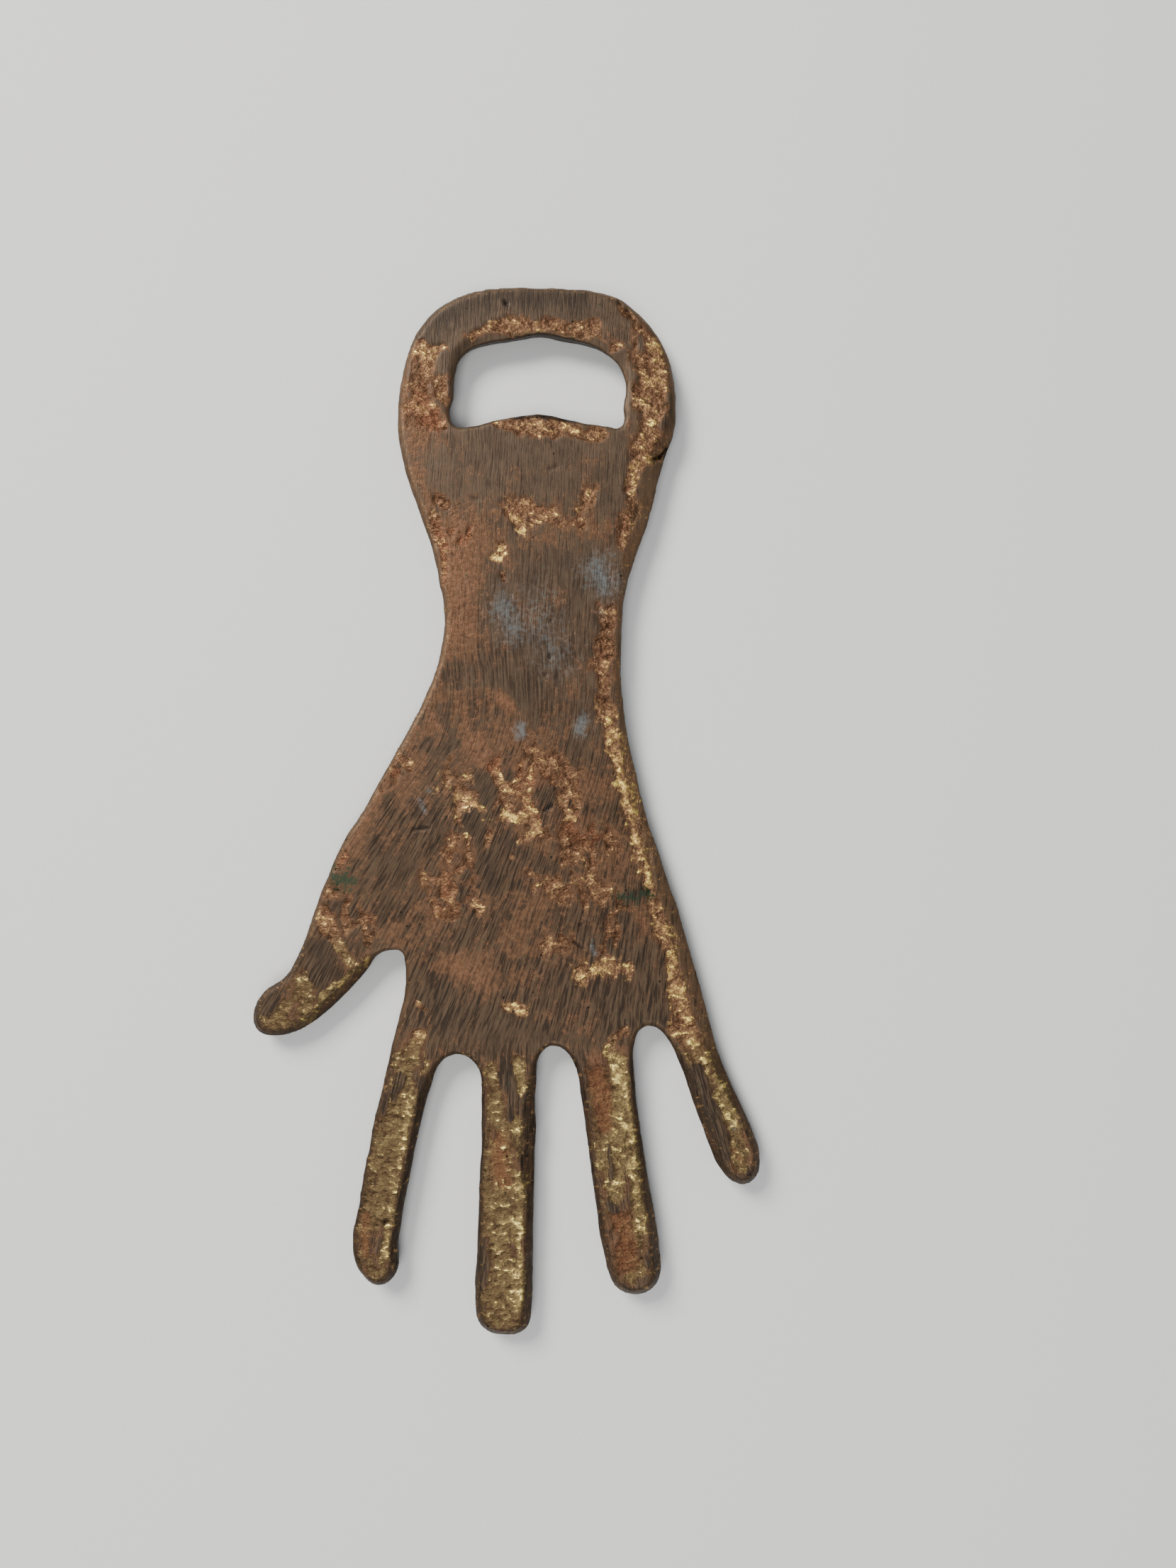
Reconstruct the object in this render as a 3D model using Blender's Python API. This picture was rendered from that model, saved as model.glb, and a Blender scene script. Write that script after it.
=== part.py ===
"""A cast hand bottle opener: one flat piece of brass, lying on its back with its fingers towards -Y.

The forearm ends in a ring. The ring's mouth takes a crown cap: its far rim rests on the cap, and the bowed
lip on the near side hooks under the cap's skirt. Filed facets of changing width run round the edges.
"""

import bmesh
import bpy
from mathutils import Vector
from mathutils.geometry import interpolate_bezier

MM = 0.001

# Driving dimensions, in millimetres.
THICKNESS = 4.5
BACK_EDGE = 0.5  # chamfer round the back face
OUTER_DRAFT = 0.4  # how far the casting's outer side leans in towards the back
MOUTH_DRAFT = 1.0  # the same for the side of the cap mouth
CURVE_STEPS = 4  # points made from each stretch between two stations
MOUTH_CURVE_STEPS = 3
HANDLE_SHARE = 0.36  # a curve handle's length, as a share of its stretch
FILED_BRASS = (0.13, 0.075, 0.04, 1.0)

# The outline, clockwise from the top of the ring, as stations of the widest section. Each holds x, y, the
# facet's width across the front face, and how far the facet drops down the side, all in millimetres.
RING_TOP = [
    (1.0, 84.0, 0.7, 0.6),
    (7.5, 83.8, 0.7, 0.6),
    (13.2, 82.8, 0.8, 0.7),
    (17.4, 79.9, 1.0, 0.8),
    (20.8, 75.5, 1.0, 0.8),
    (22.8, 70.5, 1.0, 0.9),
]
RING_RIGHT = [
    (23.6, 65.0, 1.3, 0.8),
    (23.3, 60.5, 1.8, 0.8),
    (22.0, 56.2, 2.5, 0.9),
    (20.8, 51.0, 2.8, 0.9),
    (19.5, 45.5, 3.0, 0.9),
]
WRIST_RIGHT = [
    (17.5, 39.0, 1.8, 0.7),
    (16.2, 33.5, 0.9, 0.6),
    (15.9, 27.0, 0.7, 0.6),
    (16.2, 19.0, 0.8, 0.6),
    (17.2, 12.0, 1.3, 0.7),
]
PALM_RIGHT = [
    (18.6, 6.0, 1.8, 0.8),
    (20.2, 0.0, 2.0, 0.8),
    (22.8, -7.5, 2.2, 0.8),
    (25.7, -15.0, 2.4, 0.9),
    (28.3, -23.0, 2.6, 0.9),
    (31.0, -31.5, 2.3, 1.0),
]
LITTLE_FINGER = [
    (33.4, -39.0, 1.7, 1.2),
    (36.4, -45.6, 1.2, 1.1),
    (39.3, -51.6, 1.0, 1.0),
    (40.5, -55.6, 1.1, 1.1),
    (39.8, -58.4, 1.2, 1.3),
    (37.4, -59.6, 1.2, 1.3),
    (34.9, -58.2, 1.2, 1.1),
    (32.3, -53.6, 1.7, 1.1),
    (29.6, -47.0, 1.8, 1.1),
    (27.0, -40.4, 1.2, 0.8),
]
RING_LITTLE_WEB = [
    (25.0, -36.8, 0.7, 0.6),
    (22.4, -35.3, 0.6, 0.6),
    (20.3, -36.8, 0.6, 0.6),
]
RING_FINGER = [
    (20.0, -41.0, 0.8, 0.8),
    (21.4, -50.5, 0.9, 0.9),
    (23.3, -60.5, 1.3, 1.3),
    (25.2, -70.5, 1.4, 1.5),
    (25.2, -74.6, 1.3, 1.5),
    (23.0, -76.8, 1.2, 1.4),
    (19.6, -76.6, 1.2, 1.4),
    (17.2, -74.2, 1.2, 1.2),
    (15.8, -68.5, 1.0, 1.0),
    (13.9, -58.0, 0.9, 0.9),
    (12.0, -47.0, 1.1, 0.9),
]
MIDDLE_RING_WEB = [
    (10.3, -40.9, 0.7, 0.6),
    (7.5, -39.0, 0.6, 0.6),
    (5.2, -40.6, 0.6, 0.6),
]
MIDDLE_FINGER = [
    (4.8, -45.0, 1.3, 1.0),
    (4.9, -51.0, 2.2, 1.3),
    (5.0, -56.5, 2.4, 1.5),
    (5.1, -62.0, 1.3, 1.4),
    (5.3, -72.0, 1.3, 1.5),
    (5.4, -79.5, 1.5, 1.6),
    (4.6, -82.8, 1.4, 1.5),
    (0.8, -84.0, 1.2, 1.4),
    (-2.4, -82.7, 1.2, 1.3),
    (-3.6, -79.0, 1.2, 1.1),
    (-3.6, -70.0, 0.9, 0.9),
    (-3.5, -58.0, 0.6, 0.7),
    (-3.7, -47.5, 0.6, 0.6),
]
INDEX_MIDDLE_WEB = [
    (-4.7, -42.6, 0.6, 0.6),
    (-7.4, -40.8, 0.6, 0.6),
    (-10.2, -42.0, 0.7, 0.6),
]
INDEX_FINGER = [
    (-11.8, -46.0, 1.5, 1.2),
    (-13.5, -53.5, 1.2, 1.3),
    (-14.8, -61.5, 1.0, 1.3),
    (-15.9, -70.0, 1.1, 1.4),
    (-15.9, -74.7, 1.3, 1.5),
    (-18.6, -77.0, 1.1, 1.2),
    (-21.5, -75.0, 0.7, 0.8),
    (-23.0, -71.2, 0.6, 0.6),
    (-22.5, -66.0, 0.6, 0.6),
    (-21.0, -55.0, 0.6, 0.6),
    (-18.9, -43.0, 0.8, 0.7),
]
THUMB_INDEX_WEB = [
    (-16.9, -33.5, 0.8, 0.7),
    (-16.5, -29.5, 0.8, 0.7),
    (-16.8, -26.6, 0.5, 0.5),
    (-17.2, -25.1, 0.4, 0.4),
    (-18.4, -24.7, 0.5, 0.5),
    (-20.9, -25.6, 0.6, 0.6),
]
THUMB = [
    (-23.3, -28.8, 1.6, 1.3),
    (-26.9, -33.1, 1.8, 1.5),
    (-31.4, -37.0, 1.5, 1.4),
    (-35.8, -38.9, 1.1, 1.2),
    (-39.5, -38.4, 1.0, 1.1),
    (-40.5, -35.6, 1.0, 1.0),
    (-39.0, -32.2, 1.0, 0.9),
    (-35.8, -29.6, 1.0, 0.8),
    (-33.5, -25.4, 1.0, 0.8),
    (-32.0, -20.4, 0.9, 0.8),
]
PALM_LEFT = [
    (-30.0, -14.5, 0.8, 0.7),
    (-27.7, -8.3, 0.8, 0.7),
    (-24.4, -2.6, 0.7, 0.7),
    (-21.2, 3.8, 0.7, 0.6),
    (-17.8, 10.3, 0.7, 0.6),
]
WRIST_LEFT = [
    (-14.9, 17.0, 0.7, 0.6),
    (-13.2, 23.0, 0.7, 0.6),
    (-12.9, 29.0, 0.7, 0.6),
    (-14.0, 35.0, 0.7, 0.6),
    (-15.9, 42.0, 0.8, 0.6),
]
RING_LEFT = [
    (-18.9, 49.0, 0.8, 0.6),
    (-21.3, 56.5, 0.9, 0.7),
    (-22.0, 63.0, 1.0, 0.8),
    (-21.2, 70.5, 1.1, 0.8),
    (-18.7, 77.0, 1.1, 0.8),
    (-13.6, 81.7, 0.9, 0.7),
    (-6.0, 83.7, 0.7, 0.6),
]
OUTLINE = (
    RING_TOP + RING_RIGHT + WRIST_RIGHT + PALM_RIGHT
    + LITTLE_FINGER + RING_LITTLE_WEB + RING_FINGER + MIDDLE_RING_WEB
    + MIDDLE_FINGER + INDEX_MIDDLE_WEB + INDEX_FINGER + THUMB_INDEX_WEB
    + THUMB + PALM_LEFT + WRIST_LEFT + RING_LEFT
)

# The cap mouth, clockwise from the middle of its far rim, with the same four values.
FAR_RIM = [
    (0.8, 76.0, 0.5, 0.6),
    (4.5, 75.5, 0.6, 0.6),
    (8.6, 74.8, 1.0, 0.6),
    (11.8, 73.3, 1.4, 0.6),
    (14.2, 70.8, 1.5, 0.6),
]
RIGHT_CHEEK = [
    (15.1, 67.4, 1.3, 0.5),
    (14.8, 64.3, 0.9, 0.5),
    (15.0, 62.3, 0.6, 0.5),
    (14.3, 61.0, 0.4, 0.4),
]
CAP_LIP = [
    (12.4, 61.2, 0.4, 0.5),
    (8.4, 61.6, 0.4, 0.8),
    (5.4, 62.4, 0.4, 1.2),
    (2.2, 62.9, 0.4, 1.4),
    (-1.6, 62.5, 0.4, 1.2),
    (-5.8, 61.5, 0.4, 0.8),
    (-9.6, 60.4, 0.4, 0.5),
]
LEFT_CHEEK = [
    (-12.2, 60.2, 0.4, 0.4),
    (-13.3, 62.4, 0.5, 0.5),
    (-12.8, 64.9, 0.6, 0.5),
    (-12.8, 68.6, 0.9, 0.6),
    (-11.9, 71.9, 1.4, 0.6),
    (-9.0, 74.0, 1.5, 0.6),
    (-4.0, 75.1, 1.0, 0.6),
]
MOUTH = FAR_RIM + RIGHT_CHEEK + CAP_LIP + LEFT_CHEEK


def clear_scene():
    for obj in list(bpy.data.objects):
        bpy.data.objects.remove(obj)


def smooth_loop(stations, steps):
    """The closed curve through the stations: a list of (point, facet width, facet drop), in millimetres."""
    count = len(stations)
    points = [Vector((x, y, 0.0)) for x, y, _, _ in stations]
    tangents = [(points[(i + 1) % count] - points[i - 1]).normalized() for i in range(count)]
    loop = []
    for i in range(count):
        j = (i + 1) % count
        reach = (points[j] - points[i]).length * HANDLE_SHARE
        stretch = interpolate_bezier(
            points[i],
            points[i] + tangents[i] * reach,
            points[j] - tangents[j] * reach,
            points[j],
            steps + 1,
        )
        for step, point in enumerate(stretch[:steps]):
            share = step / steps
            width = stations[i][2] * (1 - share) + stations[j][2] * share
            drop = stations[i][3] * (1 - share) + stations[j][3] * share
            loop.append((point, width, drop))
    return loop


def into_metal(loop):
    """For each point of a loop, the unit direction across it to the right of its travel."""
    count = len(loop)
    along = [(loop[(i + 1) % count][0] - loop[i - 1][0]).normalized() for i in range(count)]
    return [Vector((t.y, -t.x, 0.0)) for t in along]


def add_ring(mesh, loop, directions, inset_of, height_of):
    """One closed ring of edges, set in from the loop and lifted as the two functions say."""
    verts = []
    for (point, width, drop), direction in zip(loop, directions):
        place = point + direction * inset_of(width)
        place.z = height_of(drop)
        verts.append(mesh.verts.new(place * MM))
    return [mesh.edges.new((verts[i - 1], verts[i])) for i in range(len(verts))]


def add_wall(mesh, loop, side, draft):
    """The edge of the plate along a loop: back chamfer, leaning side and front facet. Returns the back and
    front rings. side is 1 where the metal lies to the right of the loop's travel, and -1 to the left."""
    directions = [side * d for d in into_metal(loop)]
    rings = [
        add_ring(mesh, loop, directions, lambda width: draft + BACK_EDGE, lambda drop: 0.0),
        add_ring(mesh, loop, directions, lambda width: draft, lambda drop: BACK_EDGE),
        add_ring(mesh, loop, directions, lambda width: 0.0, lambda drop: THICKNESS - drop),
        add_ring(mesh, loop, directions, lambda width: width, lambda drop: THICKNESS),
    ]
    for lower, upper in zip(rings, rings[1:]):
        bmesh.ops.bridge_loops(mesh, edges=lower + upper)
    return rings[0], rings[-1]


def make_opener(material):
    """The plate: walls lofted round its outline and its mouth, closed by a back face and a front face."""
    mesh = bmesh.new()
    outer_back, outer_front = add_wall(mesh, smooth_loop(OUTLINE, CURVE_STEPS), 1, OUTER_DRAFT)
    mouth_back, mouth_front = add_wall(mesh, smooth_loop(MOUTH, MOUTH_CURVE_STEPS), -1, MOUTH_DRAFT)
    bmesh.ops.triangle_fill(mesh, use_beauty=True, edges=outer_back + mouth_back)
    bmesh.ops.triangle_fill(mesh, use_beauty=True, edges=outer_front + mouth_front)
    bmesh.ops.recalc_face_normals(mesh, faces=mesh.faces)
    data = bpy.data.meshes.new("opener_casting")
    mesh.to_mesh(data)
    mesh.free()
    data.shade_smooth()
    data.set_sharp_from_angle(angle=0.35)
    data.materials.append(material)
    return bpy.data.objects.new("opener_casting", data)


def brass_material():
    material = bpy.data.materials.new("aged_cast_brass")
    material.use_nodes = True
    shader = material.node_tree.nodes["Principled BSDF"]
    shader.inputs["Base Color"].default_value = FILED_BRASS
    shader.inputs["Metallic"].default_value = 0.6
    shader.inputs["Roughness"].default_value = 0.5
    return material


def main():
    clear_scene()
    collection = bpy.data.collections.new("hand_bottle_opener")
    bpy.context.scene.collection.children.link(collection)
    collection.objects.link(make_opener(brass_material()))


main()
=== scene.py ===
"""Looks for the cast hand bottle opener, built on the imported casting.

The casting is meshed finely, and its points are then moved to give the file's waviness, the crumpled cast
skin that the file never reached, and the dents. Fields that say where each finish lies ride on the mesh, and
one procedural material reads them. Lengths are millimetres in the part's frame until MM scales them.
Along y, the ring reaches down to about 50, the forearm to 15, the palm to -38 and the fingers to -84.
"""

import math

import bmesh
import bpy
import numpy as np
from mathutils import Matrix, Vector

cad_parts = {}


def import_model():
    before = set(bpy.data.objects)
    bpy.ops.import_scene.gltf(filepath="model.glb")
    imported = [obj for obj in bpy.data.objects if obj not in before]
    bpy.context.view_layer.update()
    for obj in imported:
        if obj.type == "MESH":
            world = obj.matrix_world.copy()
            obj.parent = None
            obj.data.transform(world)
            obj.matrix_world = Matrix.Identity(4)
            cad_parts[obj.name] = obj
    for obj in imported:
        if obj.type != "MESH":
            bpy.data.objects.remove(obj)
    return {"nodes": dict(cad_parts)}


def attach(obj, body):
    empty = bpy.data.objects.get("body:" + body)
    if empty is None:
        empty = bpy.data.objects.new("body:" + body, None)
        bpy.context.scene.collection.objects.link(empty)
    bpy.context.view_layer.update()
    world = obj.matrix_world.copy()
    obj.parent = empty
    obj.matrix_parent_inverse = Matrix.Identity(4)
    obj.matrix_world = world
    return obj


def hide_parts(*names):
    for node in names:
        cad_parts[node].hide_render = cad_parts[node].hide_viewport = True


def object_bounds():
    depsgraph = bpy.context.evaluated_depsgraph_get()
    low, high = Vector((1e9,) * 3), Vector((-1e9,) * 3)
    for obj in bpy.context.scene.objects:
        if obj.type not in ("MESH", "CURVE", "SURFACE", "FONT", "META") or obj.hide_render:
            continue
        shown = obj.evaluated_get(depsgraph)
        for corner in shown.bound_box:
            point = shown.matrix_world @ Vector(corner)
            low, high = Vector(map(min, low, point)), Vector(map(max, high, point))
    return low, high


MM = 0.001

# The fine mesh: its voxels, the height below which a point is on the back, and the share of the back's
# faces that stays after thinning.
VOXEL = 0.35
BACK_TOP = 0.2
BACK_KEEP = 0.3

# Patches are capsules: x and y of both ends, the radius, and a last value that each list explains.
# Cast skin that the file never reached. The last value is its tone: 0 is orange-brown, 1 is bright brass.
CAST_SKIN = [
    # ring, left cheek
    (-15.2, 73.8, -18.2, 71.4, 1.1, 0.55),
    (-17.6, 69.8, -18.0, 66.4, 1.6, 0.4),
    (-19.6, 70.4, -19.8, 66.4, 0.8, 0.65),
    (-14.8, 67.6, -14.4, 65.0, 1.2, 0.45),
    (-17.6, 64.4, -17.2, 62.6, 2.6, 0.4),
    (-18.2, 60.6, -14.4, 60.2, 1.1, 0.25),
    # ring, right cheek and down towards the wrist
    (13.4, 81.0, 15.8, 79.6, 0.5, 0.4),
    (16.2, 78.2, 18.4, 75.0, 0.9, 0.35),
    (18.8, 74.0, 20.0, 69.0, 2.2, 0.6),
    (19.8, 68.0, 19.6, 62.0, 2.5, 0.6),
    (19.2, 61.5, 18.6, 56.5, 2.0, 0.7),
    (17.8, 56.0, 16.8, 50.8, 1.1, 0.65),
    (16.4, 50.0, 15.8, 42.0, 1.1, 0.4),
    # far rim and near lip of the mouth
    (-11.4, 75.6, -6.4, 76.7, 0.6, 0.6),
    (-6.0, 76.7, 2.0, 76.8, 0.8, 0.55),
    (2.0, 76.8, 8.0, 76.2, 0.7, 0.5),
    (8.4, 76.4, 11.5, 74.8, 0.4, 0.4),
    (12.4, 73.6, 14.0, 74.4, 0.5, 0.4),
    (-5.4, 60.9, -2.0, 60.8, 0.8, 0.5),
    (-1.0, 60.4, 4.0, 60.6, 1.3, 0.45),
    (-0.4, 59.6, 1.0, 59.2, 0.7, 0.8),
    (5.0, 60.4, 11.5, 59.6, 0.9, 0.55),
    # forearm and wrist
    (-2.0, 45.6, -1.2, 43.8, 1.0, 1.0),
    (-2.5, 47.2, 3.0, 46.6, 1.0, 0.4),
    (0.5, 44.6, 3.0, 45.4, 0.8, 0.55),
    (-5.2, 38.3, -3.8, 38.2, 0.6, 1.0),
    (-3.6, 40.2, -3.4, 39.2, 0.5, 0.7),
    (-3.6, 36.0, -3.4, 35.2, 0.4, 0.5),
    (-15.0, 44.4, -13.6, 40.0, 0.8, 0.4),
    (-13.6, 39.0, -13.0, 34.0, 0.4, 0.5),
    (13.6, 31.0, 13.2, 21.0, 0.9, 0.3),
    (13.4, 20.0, 13.8, 15.0, 1.0, 0.35),
    # the long edge beside the palm
    (13.8, 15.0, 15.6, 8.0, 1.6, 0.85),
    (15.4, 8.0, 17.0, 3.0, 1.7, 1.0),
    (17.2, 3.0, 19.8, -6.5, 1.35, 0.95),
    (20.0, -7.0, 21.6, -13.0, 1.2, 0.9),
    (22.4, -15.0, 24.4, -20.5, 1.1, 0.8),
    (24.6, -21.0, 26.4, -28.0, 1.1, 0.8),
    (26.4, -28.0, 28.4, -35.0, 1.4, 0.75),
    (28.2, -35.0, 31.6, -41.5, 2.0, 0.75),
    (31.6, -41.5, 36.4, -50.5, 1.5, 0.8),
    # palm
    (-9.6, 1.4, -9.5, -3.4, 0.9, 0.8),
    (-9.0, 0.4, -5.4, -1.6, 0.8, 0.8),
    (-7.4, -4.4, -5.4, -3.6, 0.4, 0.6),
    (-2.4, 2.4, 0.4, 0.4, 0.9, 0.7),
    (2.6, 6.6, 1.4, 0.4, 0.9, 0.6),
    (2.4, 6.8, 6.0, 6.2, 0.5, 0.4),
    (1.6, -0.6, 2.2, -3.4, 1.5, 1.25),
    (-1.4, -3.4, 2.6, -4.0, 0.8, 1.2),
    (6.2, 2.4, 10.2, 4.2, 0.5, 0.6),
    (6.8, 1.2, 8.8, -3.2, 0.6, 0.8),
    (-19.2, 5.6, -17.6, 4.6, 0.8, 0.45),
    (-10.0, -6.4, -10.4, -11.2, 0.7, 0.5),
    (-9.6, -6.2, -6.8, -6.6, 0.7, 0.55),
    (-7.2, -7.0, -7.0, -10.6, 0.5, 0.5),
    (-4.2, -6.0, -4.8, -9.0, 0.7, 0.6),
    (0.8, -7.0, -0.4, -9.6, 0.4, 0.5),
    (-13.4, -13.2, -11.0, -13.8, 0.5, 0.6),
    (-11.0, -12.4, -11.5, -16.0, 0.5, 0.55),
    (-12.8, -17.0, -12.0, -18.4, 0.7, 0.5),
    (-6.6, -16.6, -5.4, -17.8, 0.8, 0.5),
    (2.8, -13.8, 5.6, -13.2, 0.6, 0.7),
    (8.2, -7.8, 11.0, -9.2, 0.5, 0.5),
    (6.4, -15.2, 6.9, -15.6, 0.5, 0.7),
    (10.4, -13.0, 11.6, -17.0, 0.5, 0.4),
    (6.2, -22.0, 6.8, -23.0, 0.4, 0.5),
    (11.4, -27.4, 14.4, -26.0, 1.6, 0.8),
    (14.4, -25.8, 19.2, -26.2, 1.2, 0.9),
    (-1.2, -32.6, 1.8, -33.4, 0.9, 0.85),
    (-14.4, -32.8, -13.4, -33.4, 0.7, 0.5),
    (-30.8, -18.6, -28.6, -22.6, 1.3, 0.45),
    (-28.2, -12.0, -26.8, -10.4, 0.7, 0.25),
    # thumb
    (-27.6, -24.4, -25.0, -27.2, 1.1, 0.4),
    (-22.6, -25.8, -27.0, -30.4, 0.6, 1.0),
    (-27.0, -30.4, -30.2, -34.4, 0.8, 0.9),
    (-30.2, -34.4, -33.0, -37.0, 0.9, 1.0),
    (-33.0, -37.0, -37.2, -37.6, 0.6, 0.6),
    (-32.2, -31.0, -32.6, -35.0, 1.8, 0.4),
    (-35.4, -34.4, -35.0, -36.4, 1.4, 0.4),
    # index finger
    (-14.0, -37.5, -14.6, -41.0, 0.9, 0.55),
    (-15.8, -42.0, -17.2, -50.0, 2.3, 0.45),
    (-17.6, -51.0, -19.2, -62.0, 2.9, 0.38),
    (-19.6, -62.0, -20.2, -72.6, 3.0, 0.25),
    (-14.8, -48.0, -16.2, -57.0, 1.1, 0.95),
    (-16.6, -58.0, -17.5, -72.0, 1.1, 0.95),
    (-20.6, -73.6, -18.8, -74.6, 1.5, 0.4),
    (-12.2, -42.0, -12.7, -43.5, 0.6, 0.6),
    # middle finger
    (-2.4, -42.6, -1.9, -49.0, 1.1, 0.5),
    (2.2, -41.6, 3.0, -45.6, 1.0, 0.65),
    (-1.5, -49.0, -1.0, -53.0, 1.6, 0.45),
    (-0.9, -53.0, -0.4, -58.0, 2.2, 0.45),
    (1.8, -50.0, 2.2, -56.0, 0.6, 0.85),
    (-0.2, -58.0, 0.2, -66.0, 3.0, 0.42),
    (0.2, -66.0, 0.6, -80.0, 3.1, 0.42),
    (2.7, -59.0, 3.3, -79.0, 1.2, 1.0),
    # ring finger
    (17.4, -37.2, 19.0, -35.8, 0.8, 0.35),
    (17.2, -39.6, 18.2, -48.0, 1.5, 0.85),
    (18.4, -48.0, 20.2, -58.0, 1.8, 0.85),
    (20.4, -58.0, 21.6, -67.0, 1.3, 0.9),
    (14.8, -43.0, 15.8, -50.0, 1.8, 0.1),
    (16.4, -50.0, 18.2, -61.0, 2.6, 0.6),
    (19.2, -65.0, 20.4, -72.0, 2.9, 0.1),
    (20.4, -74.4, 23.0, -73.2, 1.2, 0.55),
    # little finger
    (36.6, -52.6, 37.4, -56.4, 1.3, 0.5),
]

# Cast skin that the file has broken up into a network, with the same kind of tone.
BROKEN_SKIN = [
    (-17.8, 72.0, -17.8, 63.6, 3.0, 0.4),
    (18.6, 75.0, 19.8, 57.0, 2.6, 0.4),
    (-8.0, 77.4, 9.0, 76.8, 1.5, 0.45),
    (-3.0, 47.0, 4.0, 46.2, 1.6, 0.4),
    (8.0, 48.2, 10.2, 50.4, 1.4, 0.45),
    (4.2, 44.8, 8.4, 44.8, 1.0, 0.35),
    (13.0, 32.0, 13.2, 17.0, 1.3, 0.3),
    (-14.4, 47.4, -12.0, 47.4, 0.8, 0.2),
    (-11.5, 42.4, -8.5, 42.0, 1.2, 0.2),
    (-9.4, 2.0, -7.6, -4.0, 2.4, 0.65),
    (-1.0, 3.0, 2.0, -4.0, 3.2, 0.45),
    (2.0, 8.0, 5.0, 5.0, 2.0, 0.35),
    (4.0, -6.0, 14.0, -8.0, 3.0, 0.12),
    (-9.0, -7.0, -8.0, -14.0, 2.6, 0.35),
    (-13.0, -14.0, -10.0, -17.0, 1.8, 0.3),
    (4.0, -12.0, 8.0, -15.0, 1.8, 0.4),
    (11.0, -10.0, 13.5, -15.0, 2.6, 0.4),
    (8.0, 4.0, 9.0, -1.0, 1.8, 0.35),
    (-19.5, 6.0, -21.0, 1.5, 1.4, 0.35),
    (-28.0, -17.0, -24.0, -21.0, 2.2, 0.2),
    (4.0, -23.0, 8.0, -22.0, 1.4, 0.3),
    (-34.0, -34.0, -38.0, -36.6, 2.4, 0.4),
    (16.0, -22.0, 17.0, -17.0, 1.6, 0.2),
]

# Dark filed areas bare of cast skin, and painted shade along the ring's top. The last value is how dark.
DARK_FILED_AND_PAINTED_SHADE = [
    (0.3, -42.0, 0.8, -46.0, 0.7, 0.8),
    (0.9, -46.5, 1.1, -50.5, 0.35, 0.5),
    (-0.8, -43.0, -0.2, -46.0, 0.4, 0.5),
    (16.4, -54.0, 16.8, -59.5, 0.3, 0.55),
    (16.8, -62.6, 17.8, -63.2, 0.55, 0.9),
    (29.8, -42.5, 32.4, -49.5, 1.0, 0.7),
    (33.2, -50.6, 35.0, -54.6, 0.9, 0.6),
    (-16.4, -44.5, -17.4, -47.5, 0.8, 0.6),
    (-18.8, -46.5, -19.4, -50.0, 0.5, 0.4),
    (-30.2, -25.5, -29.4, -28.5, 1.5, 0.6),
    (-37.0, -33.0, -38.6, -35.0, 1.6, 0.35),
    (-29.2, -29.6, -27.8, -28.6, 0.8, 0.45),
    (-6.8, -3.4, -6.2, -5.2, 1.2, 0.55),
    (-1.6, -7.0, 1.4, -9.0, 1.2, 0.4),
    (3.6, -10.2, 6.2, -11.4, 1.1, 0.45),
    (-7.2, -4.6, -5.0, -9.0, 0.9, 0.45),
    (-4.4, -9.0, -3.2, -14.0, 1.2, 0.4),
    (4.4, 0.6, 5.0, -3.0, 1.3, 0.55),
    (-5.2, 2.6, -4.2, 0.0, 1.1, 0.55),
    (-1.2, 6.8, -0.8, 3.0, 0.8, 0.5),
    (-9.6, -11.4, -9.0, -10.2, 0.7, 0.5),
    (-10.0, -34.0, 6.0, -37.0, 3.2, 0.25),
    (14.0, -31.0, 20.0, -34.0, 2.8, 0.3),
    (-13.0, -28.0, -14.0, -36.0, 1.2, 0.3),
    (17.0, -18.0, 22.0, -29.0, 1.8, 0.3),
    (-16.0, -1.0, -10.0, -9.0, 1.8, 0.2),
    # Painted shade: these two darken the sheen that the window light throws on the ring's top edge.
    (-16.0, 77.6, -8.0, 81.6, 2.6, 0.95),
    (-7.0, 81.8, 8.0, 82.0, 1.8, 0.95),
    (-14.6, 72.4, -14.2, 69.6, 0.7, 0.35),
]

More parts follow.
